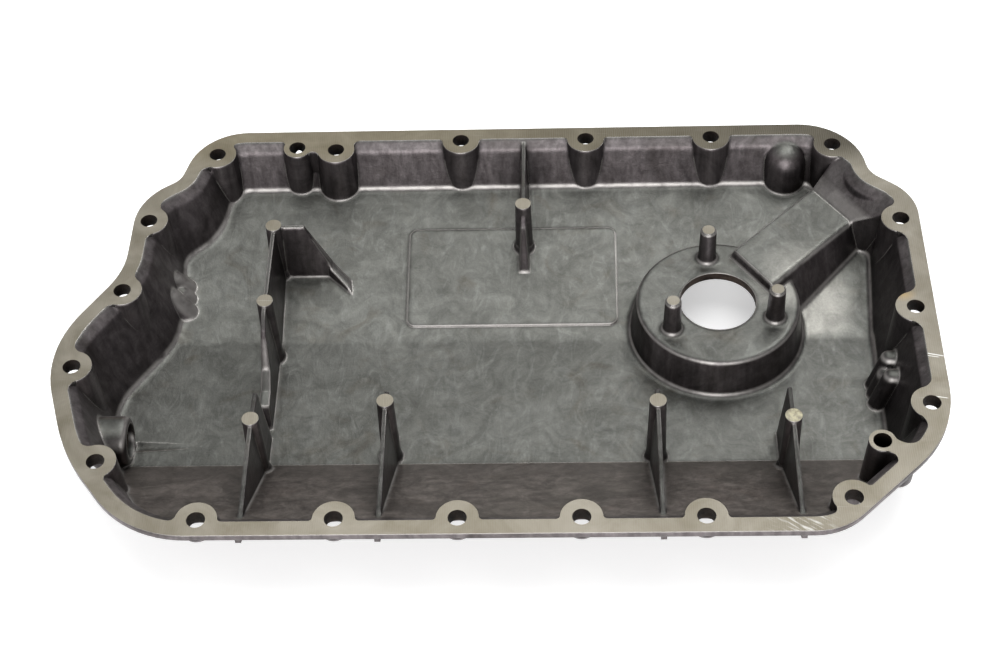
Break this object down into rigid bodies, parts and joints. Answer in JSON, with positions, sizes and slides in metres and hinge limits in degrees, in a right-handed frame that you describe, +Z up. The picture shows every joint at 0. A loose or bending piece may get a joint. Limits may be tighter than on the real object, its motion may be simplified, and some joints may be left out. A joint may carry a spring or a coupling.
{
  "type": "engine oil pan",
  "caption": "Shallow die-cast aluminium oil pan with a bolt flange, sloped floor, baffle posts and ribs, a level sensor seat with a cable duct, and a side drain boss.",
  "frame": {"origin": "middle of the bounding box at the flat underside that the pan rests on", "axes": "+X along the long side, from the drain boss end towards the level sensor end; -Y towards the shallow front edge; +Z up, out of the open side"},
  "size_m": [0.3961, 0.245, 0.044],
  "materials": {
    "cast_aluminium": "as cast, flange face milled"
  },
  "bodies": {
    "root": {"oil_pan": "cast_aluminium"}
  },
  "joints": []
}
